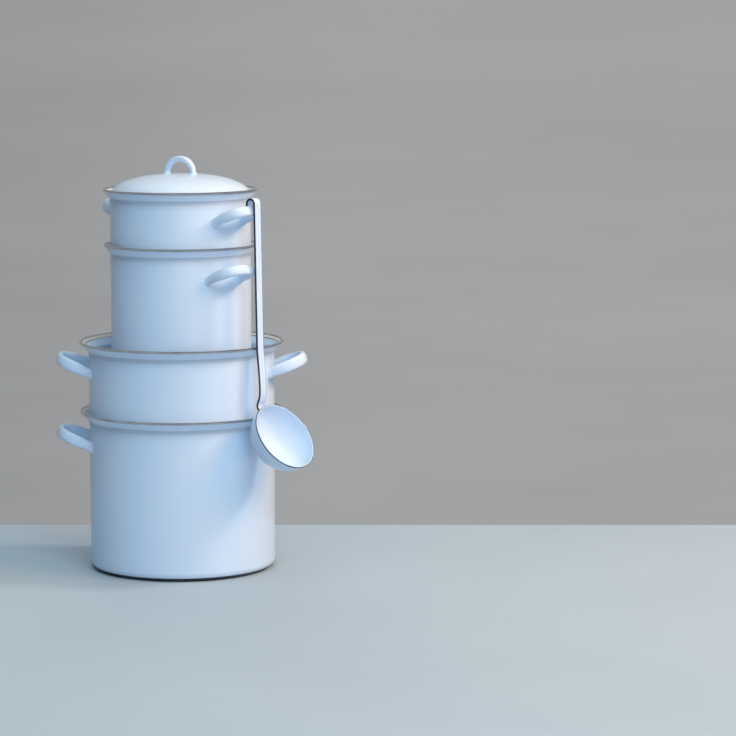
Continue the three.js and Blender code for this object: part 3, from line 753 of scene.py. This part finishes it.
def plane(name, corners, finish):
    """A flat painted sheet through four corners."""
    mesh = bpy.data.meshes.new(name)
    mesh.from_pydata(corners, [], [(0, 1, 2, 3)])
    mesh.materials.append(finish)
    panel = bpy.data.objects.new(name, mesh)
    bpy.context.collection.objects.link(panel)
    return panel


floor_paint, tree = new_finish("floor_paint")
tone = step(tree, "ShaderNodeGroup", {
    "Light": (0.362, 0.460, 0.545, 1), "Dark": (0.342, 0.436, 0.518, 1), "Stretch": (3, 3, 3)},
    node_tree=uneven_paint)
matt = step(tree, "ShaderNodeBsdfPrincipled", {"Base Color": tone.outputs[0], "Roughness": 0.6})
step(tree, "ShaderNodeOutputMaterial", {"Surface": matt.outputs[0]})
floor = plane("floor", [(-floor_half, -floor_half, 0), (floor_half, -floor_half, 0),
                        (floor_half, floor_half, 0), (-floor_half, floor_half, 0)], floor_paint)

wall_paint, tree = new_finish("wall_paint")
tone = step(tree, "ShaderNodeGroup", {
    "Light": (0.385, 0.388, 0.396, 1), "Dark": (0.345, 0.350, 0.360, 1), "Stretch": (1.2, 1, 9)},
    node_tree=uneven_paint)
along = step(tree, "ShaderNodeSeparateXYZ", {
    "Vector": step(tree, "ShaderNodeTexCoord").outputs["Object"]})
# Painted shade: the wall's glow darkens towards the left, as if lit from the right.
painted_shade = step(tree, "ShaderNodeMapRange", {
    "Value": along.outputs["X"], "From Min": -0.3, "From Max": 0.25, "To Min": 0.87, "To Max": 1.0},
    interpolation_type="SMOOTHSTEP")
shown = step(tree, "ShaderNodeEmission", {"Color": tone.outputs[0], "Strength": painted_shade.outputs[0]})
gone = step(tree, "ShaderNodeBsdfTransparent")
behind = step(tree, "ShaderNodeNewGeometry").outputs["Backfacing"]
one_sided = step(tree, "ShaderNodeMixShader", {0: behind, 1: shown.outputs[0], 2: gone.outputs[0]})
step(tree, "ShaderNodeOutputMaterial", {"Surface": one_sided.outputs[0]})
wall = plane("wall", [(-wall_half, wall_back, 0), (wall_half, wall_back, 0),
                      (wall_half, wall_back, wall_height), (-wall_half, wall_back, wall_height)],
             wall_paint)
wall.visible_shadow = False
wall.visible_diffuse = False


# Light. A low warm window on the right throws the ladle's and the handles' shadows, with a glow round
# it; the ceiling, the cool room in front and a fill from behind are soft, and the sky darkens towards
# the horizon. Past the wall, a plain grey backdrop is seen in place of the sky.
aim = Vector((0, 0, 0.25))
sky = bpy.data.worlds.new("sky")
sky.use_nodes = True
tree = sky.node_tree
tree.nodes.clear()
way = step(tree, "ShaderNodeSeparateXYZ", {
    "Vector": step(tree, "ShaderNodeTexCoord").outputs["Generated"]})
upward = reckon(tree, "MAXIMUM", way.outputs["Z"], 0.0)
all_round = step(tree, "ShaderNodeBackground", {
    "Color": (0.66, 0.83, 1.0, 1), "Strength": reckon(tree, "MULTIPLY", upward, 0.53)})
backdrop = step(tree, "ShaderNodeBackground", {"Color": (0.365, 0.369, 0.378, 1), "Strength": 1.0})
path = step(tree, "ShaderNodeLightPath").outputs
seen = reckon(tree, "MAXIMUM", path["Is Camera Ray"], reckon(
    tree, "MAXIMUM", path["Is Glossy Ray"], path["Is Transmission Ray"]))
surround = step(tree, "ShaderNodeMixShader", {
    0: seen, 1: all_round.outputs[0], 2: backdrop.outputs[0]})
step(tree, "ShaderNodeOutputWorld", {"Surface": surround.outputs[0]})
bpy.context.scene.world = sky


def softbox(name, place, size, power, colour, sheen=False):
    """A soft rectangular lamp turned to the stack, which lights it or only shows as a sheen on it."""
    lamp = bpy.data.lights.new(name, "AREA")
    lamp.shape = "RECTANGLE"
    lamp.size, lamp.size_y = size
    lamp.energy, lamp.color = power, colour
    stand = bpy.data.objects.new(name, lamp)
    stand.location = place
    stand.rotation_euler = (aim - Vector(place)).to_track_quat("-Z", "Y").to_euler()
    stand.visible_glossy = sheen
    stand.visible_diffuse = not sheen
    bpy.context.collection.objects.link(stand)


softbox("window", (2.27, 0.0, 1.9), (0.45, 0.45), 41, (1.0, 0.824, 0.705))
softbox("window_glow", (2.06, -0.96, 1.9), (0.9, 0.9), 34, (1.0, 0.46, 0.11))
softbox("ceiling", (0.0, -0.8, 3.0), (2.0, 2.0), 21, (1.0, 0.97, 0.88))
softbox("ceiling_sheen", (-0.5, 1.3, 2.2), (2.6, 2.0), 34, (1.0, 1.0, 0.97), sheen=True)
softbox("room_front", (1.2, -2.75, 2.75), (1.6, 1.6), 50, (0.72, 0.98, 0.98))
softbox("room_low", (0.8, -3.4, 0.5), (2.4, 0.9), 32, (0.78, 0.82, 1.0))
softbox("room_back", (-0.6, 3.0, 1.6), (2.0, 1.6), 14, (0.92, 0.96, 1.0))
